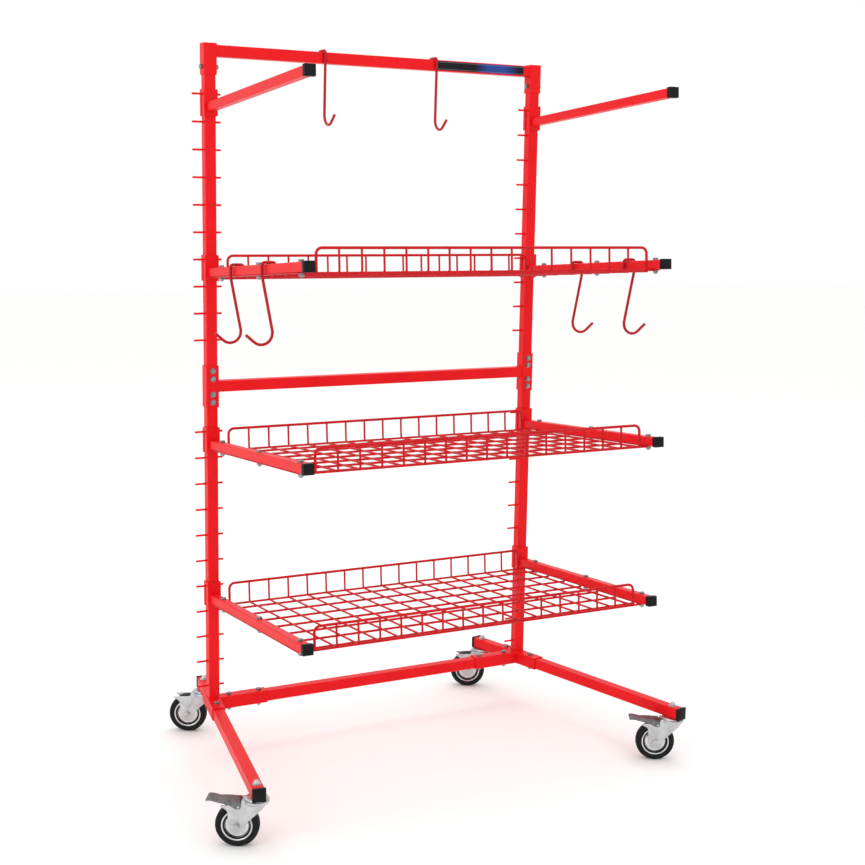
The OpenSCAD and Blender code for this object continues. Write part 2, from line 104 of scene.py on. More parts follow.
def makeFinish(name, look):
    material = bpy.data.materials.new(name)
    material.use_nodes = True
    tree = material.node_tree
    shader = tree.nodes["Principled BSDF"]
    place = addNode(tree, "ShaderNodeTexCoord", {}, {})
    mottle = addNode(tree, "ShaderNodeTexNoise", {"Scale": 1000 / look["mottleMm"], "Detail": 3.0},
                     {"Vector": place.outputs["Object"]})
    shades = addNode(tree, "ShaderNodeValToRGB", {}, {"Fac": mottle.outputs[0]})
    shades.color_ramp.elements[0].position = mottleRange[0]
    shades.color_ramp.elements[0].color = linear(look["dark"])
    shades.color_ramp.elements[1].position = mottleRange[1]
    shades.color_ramp.elements[1].color = linear(look["light"])
    tree.links.new(shades.outputs["Color"], shader.inputs["Base Color"])
    rough = addNode(tree, "ShaderNodeMapRange", {"From Min": mottleRange[0], "From Max": mottleRange[1],
                    "To Min": look["rough"][0], "To Max": look["rough"][1]}, {"Value": mottle.outputs[0]})
    tree.links.new(rough.outputs["Result"], shader.inputs["Roughness"])
    grain = addNode(tree, "ShaderNodeTexNoise", {"Scale": 1000 / look["grainMm"], "Detail": 2.0},
                    {"Vector": place.outputs["Object"]})
    relief = addNode(tree, "ShaderNodeBump", {"Strength": look["relief"], "Distance": grainDepth},
                     {"Height": grain.outputs[0]})
    tree.links.new(relief.outputs["Normal"], shader.inputs["Normal"])
    shader.inputs["Metallic"].default_value = look["metal"]
    shader.inputs["Specular IOR Level"].default_value = look.get("gloss", 0.5)
    return material


finishes = {
    # polyester powder coat, baked: even strong red with a faint orange peel and a soft gloss
    "powderCoat": makeFinish("redPowderCoat", {"dark": "df0d15", "light": "e8131b", "rough": (0.34, 0.42),
                             "metal": 0.0, "mottleMm": 90, "grainMm": 7, "relief": 0.12, "gloss": 0.14}),
    # dipped and baked wire: darker than the tube's coat
    "wireCoat": makeFinish("redWireCoat", {"dark": "b80d16", "light": "cb121b", "rough": (0.32, 0.4),
                           "metal": 0.0, "mottleMm": 60, "grainMm": 6, "relief": 0.1, "gloss": 0.14}),
    # painted hook wire: deeper red and a little glossier
    "hookPaint": makeFinish("hookPaint", {"dark": "a50c15", "light": "b8111a", "rough": (0.26, 0.36),
                            "metal": 0.0, "mottleMm": 40, "grainMm": 6, "relief": 0.1, "gloss": 0.2}),
    # zinc plated pressed steel: cool grey, cloudy, half bright
    "zincPlate": makeFinish("zincPlate", {"dark": "b3b5b7", "light": "cccecf", "rough": (0.28, 0.40),
                            "metal": 1.0, "mottleMm": 26, "grainMm": 5, "relief": 0.1}),
    # zinc plated bolts, dulled by handling: a darker grey than the forks
    "boltZinc": makeFinish("boltZinc", {"dark": "77797b", "light": "a3a5a7", "rough": (0.30, 0.42),
                           "metal": 1.0, "mottleMm": 9, "grainMm": 4, "relief": 0.1}),
    # rolled steel pedal with a thin dull plating: dark grey, streaky
    "pedalSteel": makeFinish("pedalSteel", {"dark": "5f6163", "light": "86888a", "rough": (0.38, 0.52),
                             "metal": 1.0, "mottleMm": 12, "grainMm": 4, "relief": 0.2}),
    # bright plated wheel rim: smoother and lighter than the fork
    "brightRim": makeFinish("brightRim", {"dark": "c2c4c6", "light": "e0e1e2", "rough": (0.18, 0.28),
                            "metal": 1.0, "mottleMm": 22, "grainMm": 6, "relief": 0.05}),
    # moulded black rubber: near black, matt, with a dusty bloom
    "tyreRubber": makeFinish("mouldedRubber", {"dark": "121213", "light": "1e1d1d", "rough": (0.5, 0.65),
                             "metal": 0.0, "mottleMm": 14, "grainMm": 4, "relief": 0.3, "gloss": 0.14}),
    # moulded black polyethylene cap: satin with a fine spark-eroded grain
    "blackPlastic": makeFinish("mouldedPolyethylene", {"dark": "131214", "light": "1b1a1b",
                               "rough": (0.42, 0.5), "metal": 0.0, "mottleMm": 12, "grainMm": 3,
                               "relief": 0.25, "gloss": 0.1}),
}


plateSize = {"from": 0.183, "width": 0.300, "height": 0.026, "thick": 0.0012, "corner": 0.002,
             "edge": 0.0002}


def makeLabelFilm():
    # printed gloss film: black field that fades to blue right of its middle, thin rules, no lettering
    look = {"dark": "0b0b10", "light": "0b0b10", "rough": (0.22, 0.28), "metal": 0.0, "mottleMm": 30,
            "grainMm": 5, "relief": 0.04, "gloss": 0.2}
    prints = {"band": "20438f", "rule": "83858c", "bandMiddle": 0.205, "bandHalf": 0.030,
              "bandFade": 0.075, "ruleHeight": 0.0100, "ruleHalf": 0.0004}
    material = makeFinish("printedFilm", look)
    tree = material.node_tree
    place = addNode(tree, "ShaderNodeTexCoord", {}, {})
    axes = addNode(tree, "ShaderNodeSeparateXYZ", {}, {"Vector": place.outputs["Object"]})
    middle = centreX + plateSize["from"] + prints["bandMiddle"]
    sideways = addNode(tree, "ShaderNodeMath", {"operation": "SUBTRACT", 1: middle}, {0: axes.outputs["X"]})
    reach = addNode(tree, "ShaderNodeMath", {"operation": "ABSOLUTE"}, {0: sideways.outputs[0]})
    fade = {"From Min": prints["bandHalf"], "From Max": prints["bandFade"], "To Min": 1.0, "To Max": 0.0}
    band = addNode(tree, "ShaderNodeMapRange", fade, {"Value": reach.outputs[0]})
    colours = {"Color1": linear(look["dark"]), "Color2": linear(prints["band"])}
    banded = addNode(tree, "ShaderNodeMixRGB", colours, {"Fac": band.outputs["Result"]})
    height = addNode(tree, "ShaderNodeMath", {"operation": "SUBTRACT", 1: cart["topHeight"]},
                     {0: axes.outputs["Z"]})
    away = addNode(tree, "ShaderNodeMath", {"operation": "ABSOLUTE"}, {0: height.outputs[0]})
    ruleReach = {"operation": "COMPARE", 1: prints["ruleHeight"], 2: prints["ruleHalf"]}
    rule = addNode(tree, "ShaderNodeMath", ruleReach, {0: away.outputs[0]})
    ruled = addNode(tree, "ShaderNodeMixRGB", {"Color2": linear(prints["rule"])},
                    {"Fac": rule.outputs[0], "Color1": banded.outputs[0]})
    tree.links.new(ruled.outputs[0], tree.nodes["Principled BSDF"].inputs["Base Color"])
    return material


finishes["labelFilm"] = makeLabelFilm()
print("finishes made")


# small tools that the pieces share

tools = {
    "axisGap": 0.0005,       # radius left open along the axis of a turned shank
    "turnedMerge": 0.00001,  # points closer than this become one
    "wireMerge": 0.000005,
    "handle": 0.002,         # length of a wire's handles where it runs straight
    "bevelFrom": 40,         # degrees between faces from which an edge is softened
}


def startClean():
    bpy.ops.object.select_all(action="DESELECT")


def coat(piece, finish, body, replaced):
    piece.data.materials.clear()
    piece.data.materials.append(finishes[finish])
    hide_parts(*replaced)
    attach(piece, body)


def smooth(piece, degrees=35):
    startClean()
    piece.select_set(True)
    bpy.context.view_layer.objects.active = piece
    bpy.ops.object.shade_smooth_by_angle(angle=math.radians(degrees))


def softenEdges(piece, width, segments=2):
    startClean()
    piece.select_set(True)
    bpy.context.view_layer.objects.active = piece
    bevel = piece.modifiers.new("edges", "BEVEL")
    bevel.width = width
    bevel.segments = segments
    bevel.limit_method = "ANGLE"
    bevel.angle_limit = math.radians(tools["bevelFrom"])
    bpy.ops.object.modifier_apply(modifier="edges")


def joined(name, pieces):
    startClean()
    for piece in pieces:
        piece.select_set(True)
    bpy.context.view_layer.objects.active = pieces[0]
    if len(pieces) > 1:
        bpy.ops.object.join()
    pieces[0].name = name
    pieces[0].data.name = name
    return pieces[0]


def bakePlace(piece):  # puts the object's own place into its mesh
    piece.data.transform(piece.matrix_basis)
    piece.matrix_basis = Matrix.Identity(4)


def placed(source, place):
    copy = source.copy()
    copy.data = source.data.copy()
    copy.data.transform(place)
    bpy.context.scene.collection.objects.link(copy)
    return copy


def discard(*sources):
    for source in sources:
        bpy.data.objects.remove(source)


def turned(name, outline, steps=64):  # outline of (radius, height), spun about Z
    startClean()
    bpy.ops.mesh.primitive_circle_add(vertices=len(outline), radius=0.01, location=(0, 0, 0))
    piece = bpy.context.object
    for corner, (radius, height) in zip(piece.data.vertices, outline):
        corner.co = (radius, 0, height)
    bpy.ops.object.mode_set(mode="EDIT")
    bpy.ops.mesh.select_all(action="SELECT")
    bpy.ops.mesh.spin(steps=steps, angle=math.tau, center=(0, 0, 0), axis=(0, 0, 1))
    bpy.ops.mesh.select_all(action="SELECT")
    bpy.ops.mesh.remove_doubles(threshold=tools["turnedMerge"])
    bpy.ops.mesh.normals_make_consistent(inside=False)
    bpy.ops.object.mode_set(mode="OBJECT")
    piece.name = name
    smooth(piece)
    return piece


def cutPlate(name, outline, thickness, edge):  # outline in XZ, pressed out along +Y
    startClean()
    bpy.ops.mesh.primitive_circle_add(vertices=len(outline), radius=0.01, fill_type="NGON",
                                      location=(0, 0, 0))
    piece = bpy.context.object
    for corner, (x, z) in zip(piece.data.vertices, outline):
        corner.co = (x, 0, z)
    bpy.ops.object.mode_set(mode="EDIT")
    bpy.ops.mesh.select_all(action="SELECT")
    bpy.ops.mesh.extrude_region_move(TRANSFORM_OT_translate={"value": (0, thickness, 0)})
    bpy.ops.mesh.select_all(action="SELECT")
    bpy.ops.mesh.normals_make_consistent(inside=False)
    bpy.ops.object.mode_set(mode="OBJECT")
    piece.name = name
    softenEdges(piece, edge)
    smooth(piece)
    return piece


def hexBlock(radius, low, high, corner=0.0007):
    startClean()
    bpy.ops.mesh.primitive_cylinder_add(vertices=6, radius=radius, depth=high - low,
                                        location=(0, 0, (low + high) / 2))
    piece = bpy.context.object
    bakePlace(piece)
    softenEdges(piece, corner)
    smooth(piece)
    return piece


washer = {"thick": 0.001, "spread": 1.15}  # spread: its radius over the hexagon's


def fastener(size):  # bolt, washers and nut along Z, about the middle of its grip
    half = size["grip"] / 2
    tip = -half - size["tail"]
    chamfer = 0.001
    thick = washer["thick"]
    rim = size["hex"] * washer["spread"]
    outline = [(tools["axisGap"], half), (size["shank"], half), (size["shank"], tip + chamfer),
               (size["shank"] - chamfer, tip), (tools["axisGap"], tip)]
    pieces = [turned("shank", outline, 16),
              hexBlock(size["hex"], half + thick, half + thick + size["head"]),
              hexBlock(size["hex"], -half - thick - size["nut"], -half - thick)]
    for low in (half, -half - thick):
        ring = [(size["shank"], low), (rim, low), (rim, low + thick), (size["shank"], low + thick)]
        pieces.append(turned("washer", ring, 24))
    return joined("fastener", pieces)


def bendPoints(corners, bends):  # bezier points along straight runs with round bends
    path = [Vector(c) for c in corners]
    handle = tools["handle"]
    nudge = (path[1] - path[0]).normalized() * handle
    points = [(path[0] - nudge, path[0], path[0] + nudge)]
    for i in range(1, len(path) - 1):
        arriving = (path[i] - path[i - 1]).normalized()
        leaving = (path[i + 1] - path[i]).normalized()
        turn = arriving.angle(leaving)
        reach = bends[i - 1] * math.tan(turn / 2)
        pull = bends[i - 1] * 4 / 3 * math.tan(turn / 4)
        start, end = path[i] - arriving * reach, path[i] + leaving * reach
        points.append((start - arriving * handle, start, start + arriving * pull))
        points.append((end - leaving * pull, end, end + leaving * handle))
    nudge = (path[-1] - path[-2]).normalized() * handle
    points.append((path[-1] - nudge, path[-1], path[-1] + nudge))
    return points


def bentWires(name, radius, runs, sidesRound=3):
    startClean()
    bpy.ops.curve.primitive_bezier_curve_add(location=(0, 0, 0))
    wires = bpy.context.object
    shape = wires.data
    shape.dimensions = "3D"
    shape.bevel_depth = radius
    shape.bevel_resolution = sidesRound
    shape.resolution_u = 5
    shape.use_fill_caps = True
    shape.splines.clear()
    for corners, bends in runs:
        points = bendPoints(corners, bends)
        line = shape.splines.new("BEZIER")
        line.bezier_points.add(len(points) - 1)
        for point, (before, at, after) in zip(line.bezier_points, points):
            point.handle_left_type = point.handle_right_type = "FREE"
            point.co, point.handle_left, point.handle_right = at, before, after
    bpy.ops.object.convert(target="MESH")
    piece = bpy.context.object
    bpy.ops.object.mode_set(mode="EDIT")
    bpy.ops.mesh.select_all(action="SELECT")
    bpy.ops.mesh.remove_doubles(threshold=tools["wireMerge"])  # closes the end discs onto the wire
    bpy.ops.mesh.normals_make_consistent(inside=False)
    bpy.ops.object.mode_set(mode="OBJECT")
    piece.name = name
    smooth(piece, 50)
    return piece


# wire shelves, bent from one run of wire per tray

deckSize = {
    "pitch": 0.0613,      # between the wires that run front to back
    "sideWires": 8,       # to each side of the middle one
    "front": 0.683,
    "back": 0.050,
    "underArm": 0.0152,   # wire centres below the arm's centre line
    "lipRise": 0.046,
    "trayBend": 0.008,
    "lipBend": 0.016,
    "crossFirst": 0.101,
    "crossPitch": 0.0915,
    "crossWires": 7,
    "crossDrop": 0.003,   # below the tray wires
    "crossInset": 0.009,  # from the uprights' centre lines
    "endInset": 0.001,
    "wire": 0.0029,       # radii
    "rail": 0.0038,
    "cross": 0.0032,
    "barWidth": 0.024,
    "barThick": 0.003,
    "barEdge": 0.0006,
}


def makeDeck():
    d = deckSize
    halfSpan = (cart["uprightX"][1] - cart["uprightX"][-1]) / 2
    low = -d["underArm"]
    trays = []
    for i in range(-d["sideWires"] + 1, d["sideWires"]):
        x = i * d["pitch"]
        trays.append(([(x, -d["back"], d["lipRise"]), (x, -d["back"], low), (x, -d["front"], low),
                       (x, -d["front"], d["lipRise"])], (d["trayBend"],) * 2))
    wires = [bentWires("trays", d["wire"], trays)]
    endX = d["sideWires"] * d["pitch"]
    lips = []
    for y in (-d["back"], -d["front"]):  # a lip's rail turns down at both ends to the deck
        lips.append(([(-endX, y, low), (-endX, y, d["lipRise"]), (endX, y, d["lipRise"]), (endX, y, low)],
                     (d["lipBend"],) * 2))
    wires.append(bentWires("lips", d["rail"], lips))
    reach = halfSpan - d["crossInset"]
    across = [([(-reach, -d["crossFirst"] - i * d["crossPitch"], low - d["crossDrop"]),
                (reach, -d["crossFirst"] - i * d["crossPitch"], low - d["crossDrop"])], ())
              for i in range(d["crossWires"])]
    for y in (-d["back"] - d["endInset"], -d["front"] + d["endInset"]):
        across.append(([(-reach, y, low), (reach, y, low)], ()))
    across += [([(x, -d["back"], low), (x, -d["front"], low)], ()) for x in (-endX, endX)]
    wires.append(bentWires("across", d["cross"], across))
    halfBar = d["barWidth"] / 2
    top = -cart["arm"] / 2
    foot = top - d["barThick"]
    section = [(-halfBar, foot), (halfBar, foot), (halfBar, top), (-halfBar, top)]
    for side in (-1, 1):
        bar = cutPlate("endBar", section, d["front"] - d["back"], d["barEdge"])
        bar.data.transform(Matrix.Translation((side * halfSpan, -d["front"], 0)))
        wires.append(bar)
    return joined("deck", wires)


deck = makeDeck()
for level in ("upper", "middle", "lower"):
    piece = placed(deck, armFrame(cart["armHeights"][level]))
    piece.name = "shelf_" + level + "_wires"
    coat(piece, "wireCoat", "shelf_" + level, ["shelf_" + level + "_deck"])
discard(deck)
print("shelves made")


# S-hooks, two over the top bar and two on each arm of the upper shelf

hookSize = {
    "wire": 0.004,        # radius
    "gap": 0.0005,        # over the bar's top face
    "side": 0.002,        # beside the bar
    "shoulder": 0.008,    # radius of the bends over the bar
    "innerEnd": 0.002,    # short leg's end above the bar's underside
    "knee": 0.002,        # below the bar's underside, where the long leg starts to lean
    "kneeBend": 0.020,
    "drop": 0.176,        # from the bar's top face to the middle of the lower bend
    "footRise": 0.004,
    "footBend": 0.010,
    "bend": 0.030,        # radius of the lower bend
    "sweep": 130,         # degrees that the lower bend turns through
    "slack": 0.0002,      # taken off the lower bend, so that its two halves don't meet
    "tip": 0.030,
    "bars": {"top": 0.032, "arm": 0.025},
    "foot": {"top": 0.018, "arm": -0.010},
}


def makeHook(kind):  # over a bar whose top face is at height 0; +X is the open side
    h = hookSize
    bar, foot = h["bars"][kind], h["foot"][kind]
    half = bar / 2 + h["wire"] + h["side"]
    crown = h["wire"] + h["gap"]
    corners = [(-half, 0, -bar + h["innerEnd"]), (-half, 0, crown), (half, 0, crown),
               (half, 0, -bar - h["knee"]), (foot, 0, -h["drop"] + h["footRise"])]
    step = math.radians(h["sweep"]) / 4  # the lower bend is laid along two tangent corners
    for turn in (step, 3 * step):
        reach = h["bend"] / math.cos(step)
        corners.append((foot + h["bend"] - reach * math.cos(turn), 0, -h["drop"] - reach * math.sin(turn)))
    end = math.pi - 4 * step
    corners.append((foot + h["bend"] + h["bend"] * math.cos(end) + h["tip"] * math.sin(end), 0,
                    -h["drop"] - h["bend"] * math.sin(end) + h["tip"] * math.cos(end)))
    lower = h["bend"] - h["slack"]
    bends = (h["shoulder"], h["shoulder"], h["kneeBend"], h["footBend"], lower, lower)
    return bentWires("hook", h["wire"], [(corners, bends)], 4)


hookPlaces = {
    "hook_top_left": ("top", -0.184),
    "hook_top_right": ("top", 0.177),
    "hook_left_rear": (-1, 0.225),
    "hook_left_front": (-1, 0.460),
    "hook_right_rear": (1, 0.287),
    "hook_right_front": (1, 0.552),
}
for name, (where, along) in hookPlaces.items():
    if where == "top":
        piece = makeHook("top")
        spot = Matrix.Translation((centreX + along, cart["uprightY"], cart["topHeight"] + cart["tube"] / 2))
        place = spot @ Matrix.Rotation(math.radians(-90), 4, "Z")
    else:
        piece = makeHook("arm")
        spot = armFrame(cart["armHeights"]["upper"], where) @ Vector((0, -along, cart["arm"] / 2))
        place = Matrix.Translation(spot) @ Matrix.Rotation(math.pi if where < 0 else 0, 4, "Z")
    piece.data.transform(place)
    piece.name = name + "_wire"
    coat(piece, "hookPaint", name, [name])
print("hooks made")


# bolts with their washers and nuts

boltSize = {"shank": 0.004, "hex": 0.0075, "head": 0.0053, "nut": 0.0065, "tail": 0.0105}
boltPlaces = {
    "sleeveRises": (-0.045, -0.0225, 0.0225, 0.045),  # from the middle bar's centre line
    "topDrop": 0.044,                                 # below the top bar's centre line
    "inward": (0.050, 0.144),                         # from the uprights, along the base bar
    "alongRail": (-0.062, 0.048),
    "alongArm": (0.100, 0.390, 0.676),
    "socketSlack": 0.0006,                            # by which the sockets are narrower than the sleeves
}
sleeveBolt = fastener({**boltSize, "grip": cart["sleeve"]})
socketBolt = fastener({**boltSize, "grip": cart["sleeve"] - boltPlaces["socketSlack"]})
shelfBolt = fastener({**boltSize, "grip": cart["arm"] + deckSize["barThick"]})
copies = []
for side in (-1, 1):
    x, y = cart["uprightX"][side], cart["uprightY"]
    for rise in boltPlaces["sleeveRises"]:
        spot = Matrix.Translation((x, y, cart["middleHeight"] + rise))
        copies.append(placed(sleeveBolt, spot @ Matrix.Rotation(math.radians(90), 4, "X")))
    spot = Matrix.Translation((x, y, cart["topHeight"] - boltPlaces["topDrop"]))
    copies.append(placed(sleeveBolt, spot @ Matrix.Rotation(math.radians(-90), 4, "Y")))
    for inward in boltPlaces["inward"]:
        copies.append(placed(socketBolt, Matrix.Translation((x - side * inward, y, cart["baseHeight"]))))
    for along in boltPlaces["alongRail"]:
        copies.append(placed(sleeveBolt, railFrame(side) @ Matrix.Translation((0, along, 0))))
coat(joined("frame_fasteners", copies), "boltZinc", "frame", ["frame_bolts"])
for level in ("upper", "middle", "lower"):
    copies = [placed(shelfBolt, armFrame(cart["armHeights"][level], side)
                     @ Matrix.Translation((0, -along, -deckSize["barThick"] / 2)))
              for side in (-1, 1) for along in boltPlaces["alongArm"]]
    piece = joined("shelf_" + level + "_fasteners", copies)
    coat(piece, "boltZinc", "shelf_" + level, ["shelf_" + level + "_bolts"])
discard(sleeveBolt, socketBolt, shelfBolt)
print("bolts made")


# end caps, slipped over the rails and arms

capSize = {
    "wall": 0.0017,
    "face": 0.003,       # thickness of the closed end
    "fit": 0.0001,       # between the cap and its tube
    "edge": 0.0007,
    "railDepth": 0.009,
    "armDepth": 0.016,
    "railFront": 0.694,  # from the uprights to the ends of the rails
    "railRear": 0.198,
}


def makeCap(tube, depth):  # closed face at -Y, open towards +Y, over the end of a tube at the origin
    c = capSize
    outer = tube + 2 * c["wall"]
    startClean()
    bpy.ops.mesh.primitive_cube_add(size=1, location=(0, depth / 2 - c["face"], 0),
                                    scale=(outer, depth, outer))
    piece = bpy.context.object
    bakePlace(piece)
    bpy.ops.object.mode_set(mode="EDIT")
    bpy.ops.mesh.select_all(action="DESELECT")
    bpy.ops.object.mode_set(mode="OBJECT")
    for face in piece.data.polygons:
        face.select = face.normal.y > 0.9
    bpy.ops.object.mode_set(mode="EDIT")
    bpy.ops.mesh.select_mode(type="FACE")
    bpy.ops.mesh.inset(thickness=c["wall"] - c["fit"])
    bpy.ops.mesh.extrude_region_move(TRANSFORM_OT_translate={"value": (0, c["face"] - depth, 0)})
    bpy.ops.mesh.select_all(action="SELECT")
    bpy.ops.mesh.normals_make_consistent(inside=False)
    bpy.ops.object.mode_set(mode="OBJECT")
    softenEdges(piece, c["edge"])
    smooth(piece)
    return piece


railCap = makeCap(cart["tube"], capSize["railDepth"])
armCap = makeCap(cart["arm"], capSize["armDepth"])
turnBack = Matrix.Rotation(math.pi, 4, "Z")
copies = []
for side in (-1, 1):
    front = Matrix.Translation((0, -capSize["railFront"], 0))
    rear = Matrix.Translation((0, capSize["railRear"], 0)) @ turnBack
    copies += [placed(railCap, railFrame(side) @ front), placed(railCap, railFrame(side) @ rear)]
coat(joined("rail_caps", copies), "blackPlastic", "frame", ["rail_end_caps"])
armEnd = Matrix.Translation((0, -cart["armReach"], 0))
for level in ("upper", "middle", "lower"):
    copies = [placed(armCap, armFrame(cart["armHeights"][level], side) @ armEnd) for side in (-1, 1)]
    piece = joined("shelf_" + level + "_end_caps", copies)
    coat(piece, "blackPlastic", "shelf_" + level, ["shelf_" + level + "_caps"])
for word, side in sides.items():
    piece = placed(armCap, armFrame(cart["armHeights"]["top"], side) @ armEnd)
    piece.name = "top_arm_" + word + "_end_cap"
    coat(piece, "blackPlastic", "top_arm_" + word, ["top_arm_" + word + "_cap"])
discard(railCap, armCap)
print("caps made")


# name plate on the front of the top bar

def makePlate():
    p = plateSize
    startClean()
    bpy.ops.mesh.primitive_cube_add(size=1, location=(p["from"] + p["width"] / 2 + centreX,
                                    cart["uprightY"] - cart["tube"] / 2 - p["thick"] / 2, cart["topHeight"]),
                                    scale=(p["width"], p["thick"], p["height"]))
    piece = bpy.context.object
    bakePlace(piece)
    bpy.ops.object.mode_set(mode="EDIT")
    bpy.ops.mesh.select_all(action="DESELECT")
    bpy.ops.mesh.select_mode(type="EDGE")
    bpy.ops.object.mode_set(mode="OBJECT")
    for edge in piece.data.edges:  # the four short edges through the plate
        a, b = (piece.data.vertices[i].co for i in edge.vertices)
        edge.select = abs(a.y - b.y) > p["thick"] / 2
    bpy.ops.object.mode_set(mode="EDIT")
    bpy.ops.mesh.bevel(offset=p["corner"], segments=4)
    bpy.ops.object.mode_set(mode="OBJECT")
    softenEdges(piece, p["edge"], 1)
    piece.name = "name_plate"
    return piece


coat(makePlate(), "labelFilm", "frame", ["label_plate"])
print("name plate made")


# casters, braked at the front

casterSize = {
    "mount": 0.132,      # underside of the rail
    "turn": 150,         # degrees from +X in which it trails
    "trail": 0.049,
    "axleDrop": 0.075,
    "stems": {"front": -0.661, "rear": 0.167},
}


def casterFrame(side, along):
    spot = railFrame(side) @ Vector((0, along, 0))
    place = Matrix.Translation((spot.x, spot.y, casterSize["mount"]))
    return place @ Matrix.Rotation(math.radians(casterSize["turn"]), 4, "Z")


def mirroredUp(half):  # closes an outline given for heights above 0
    return half + [(radius, -height) for radius, height in reversed(half)]


# half sections as (radius, height), from the bead out to the middle of the tread
tyreSize = {
    "half": [(0.0403, 0.0122), (0.0430, 0.0143), (0.0490, 0.0150), (0.0528, 0.0140), (0.0555, 0.0115),
             (0.0567, 0.0085), (0.0570, 0.0062), (0.0564, 0.0056), (0.0570, 0.0050)],
    "sealIn": 0.0330,
    "sealOut": 0.0362,
    "sealThick": 0.0012,
    "sealLows": (0.0085, -0.0097),
}


def makeTyre():
    t = tyreSize
    pieces = [turned("tyre", mirroredUp(t["half"]), 96)]
    for low in t["sealLows"]:  # black rings that close the rim's dish
        high = low + t["sealThick"]
        ring = [(t["sealIn"], low), (t["sealOut"], low), (t["sealOut"], high), (t["sealIn"], high)]
        pieces.append(turned("seal", ring, 72))
    return joined("tyre", pieces)


# from the bore over the hub, down the dish and out to the flange
rimHalf = [(0.0051, 0.0160), (0.0100, 0.0160), (0.0118, 0.0140), (0.0150, 0.0108), (0.0230, 0.0078),
           (0.0295, 0.0085), (0.0322, 0.0118), (0.0334, 0.0092), (0.0345, 0.0080), (0.0358, 0.0090),
           (0.0366, 0.0138), (0.0384, 0.0147), (0.0402, 0.0138), (0.0406, 0.0120)]


def makeRim():
    return turned("rim", mirroredUp(rimHalf), 96)


forkSize = {
    "cheekIn": 0.017,    # from the wheel's middle to the inside of a cheek
    "cheek": 0.003,
    "cheekEdge": 0.0009,
    "boss": 0.022,
    "neck": [(-0.024, -0.0056), (0.036, -0.0056), (0.0385, -0.015), (0.044, -0.017), (0.088, -0.019),
             (0.090, -0.0205), (0.0895, -0.0235), (0.078, -0.029), (0.073, -0.034), (0.071, -0.040)],
    "throat": [(0.020, -0.062), (-0.015, -0.029), (-0.022, -0.020), (-0.024, -0.014)],
    "rib": [(0.03588, -0.0232), (0.04572, -0.0318), (0.05064, -0.06276), (0.04572, -0.06276),
            (0.03096, -0.03524)],
    "ribThick": 0.0006,
    "ribSunk": 0.0001,   # into the cheek
    "ribEdge": 0.0002,
    "cup": [(0.0062, -0.0056), (0.0300, -0.0056), (0.0330, -0.0064), (0.0340, -0.0085), (0.0338, -0.0120),
            (0.0318, -0.0150), (0.0290, -0.0153), (0.0062, -0.0153)],
    "web": [(-0.020, -0.0083), (0.036, -0.0083), (0.036, -0.0056), (-0.020, -0.0056)],
    "webSunk": 0.001,    # into each cheek
    "webEdge": 0.0008,
    "stud": [(0.0004, 0), (0.003, 0), (0.003, 0.0042), (0.0024, 0.0046), (0.0004, 0.0046)],
    "studPlace": (0.044, 0.0198, -0.021),
}


def makeFork(braked):
    f = forkSize
    drop, trail = casterSize["axleDrop"], casterSize["trail"]
    angles = [math.radians(-a) for a in range(0, 181, 12)]
    boss = [(trail + f["boss"] * math.cos(a), -drop + f["boss"] * math.sin(a)) for a in angles]
    outline = f["neck"] + boss + f["throat"]
    pieces = []
    for low in (f["cheekIn"], -f["cheekIn"] - f["cheek"]):
        cheek = cutPlate("cheek", outline, f["cheek"], f["cheekEdge"])
        cheek.data.transform(Matrix.Translation((0, low, 0)))
        rib = cutPlate("rib", f["rib"], f["ribThick"], f["ribEdge"])  # pressed out of the cheek's outside
        outside = f["cheek"] - f["ribSunk"] if low > 0 else f["ribSunk"] - f["ribThick"]
        rib.data.transform(Matrix.Translation((0, low + outside, 0)))
        pieces += [cheek, rib]
    pieces.append(turned("cup", f["cup"], 72))
    halfWeb = f["cheekIn"] + f["webSunk"]
    web = cutPlate("web", f["web"], 2 * halfWeb, f["webEdge"])
    web.data.transform(Matrix.Translation((0, -halfWeb, 0)))
    pieces.append(web)
    if braked:
        x, y, z = f["studPlace"]
        for side in (-1, 1):  # studs that carry the pedal
            stud = turned("stud", f["stud"], 20)
            stud.data.transform(Matrix.Translation((x, side * y, z))
                                @ Matrix.Rotation(math.radians(-90 * side), 4, "X"))
            pieces.append(stud)
    return joined("fork", pieces)


axleSize = {"shank": 0.005, "hex": 0.0092, "head": 0.006, "nut": 0.006, "tail": 0.0095, "grip": 0.040}


def makeAxle():
    piece = fastener(axleSize)
    piece.data.transform(Matrix.Rotation(math.radians(90), 4, "X"))
    return piece


pedalSize = {
    "half": 0.0234,      # half its width
    "ear": [(0.0395, -0.0085), (0.0930, -0.0085), (0.0930, -0.0115), (0.0700, -0.0160), (0.0520, -0.0262),
            (0.0480, -0.0270), (0.0420, -0.0270), (0.0390, -0.0255), (0.0372, -0.0200), (0.0385, -0.0120)],
    "earThick": 0.003,
    "plate": [(0.0395, -0.0080), (0.0600, -0.0080), (0.0640, -0.0072), (0.0860, -0.0072), (0.0900, -0.0080),
              (0.0960, -0.0076), (0.1040, -0.0055), (0.1110, -0.0040), (0.1180, -0.0034), (0.1240, -0.0037),
              (0.1275, -0.0050), (0.1280, -0.0075), (0.1240, -0.0066), (0.1170, -0.0064), (0.1100, -0.0071),
              (0.1040, -0.0087), (0.0940, -0.0112), (0.0395, -0.0110)],
    "edge": 0.0008,
    "ridges": [(0.106, -0.0051), (0.112, -0.0038), (0.118, -0.0032)],  # their tops, across the tip
    "ridge": [(-0.0012, -0.0012), (0.0012, -0.0012), (0.0007, 0), (-0.0007, 0)],
    "ridgeEdge": 0.0002,
    "ridgeReach": 0.8,   # of the pedal's half width
}


